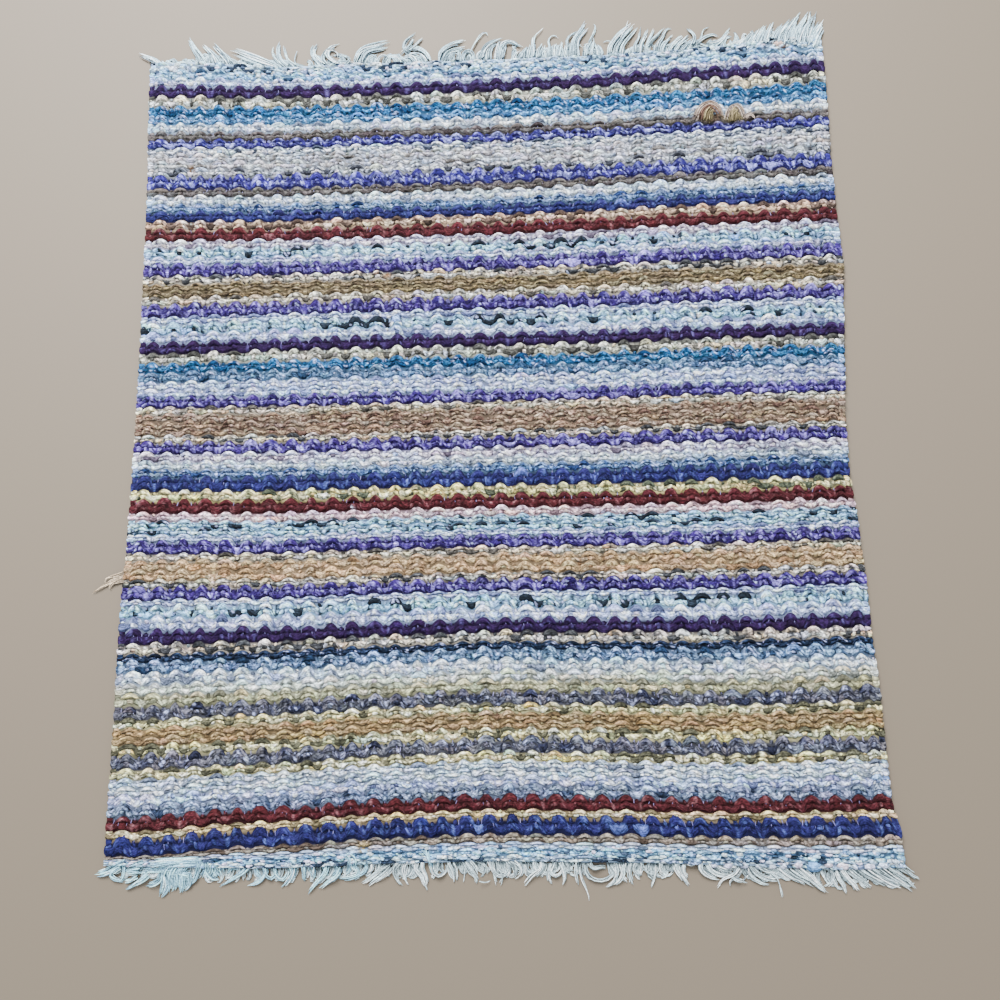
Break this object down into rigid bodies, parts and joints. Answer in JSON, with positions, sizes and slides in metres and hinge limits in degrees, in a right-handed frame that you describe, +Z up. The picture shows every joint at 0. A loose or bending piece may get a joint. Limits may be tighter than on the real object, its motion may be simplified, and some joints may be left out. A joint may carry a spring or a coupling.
{
  "type": "rag rug",
  "caption": "Flat striped rag rug woven in a zigzag twill, with a short uneven cotton fringe at both ends; lies flat on a floor.",
  "frame": {"origin": "centre of the footprint, fringes included, on the underside that lies on the floor", "axes": "+X across the rug along the rows of weft, +Y along its length from the near fringe to the far fringe, +Z up out of the walking face"},
  "size_m": [0.7474, 0.8616, 0.0104],
  "materials": {
    "rag_weave": "matt woven cotton rags in stripes of violet, navy, aubergine, maroon, teal, tan, slate, cream and pale aqua white",
    "cotton_warp_far": "off-white cotton warp yarn, loose and frayed",
    "cotton_warp_near": "off-white cotton warp yarn, loose and frayed",
    "tan_weft_end": "tan cotton rag, twisted and frayed",
    "brown_weft_loop": "brown cotton rag, twisted"
  },
  "bodies": {
    "root": {"rug_body": "rag_weave", "fringe_far": "cotton_warp_far", "fringe_near": "cotton_warp_near", "weft_tail": "tan_weft_end", "weft_tuft": "brown_weft_loop"}
  },
  "joints": []
}
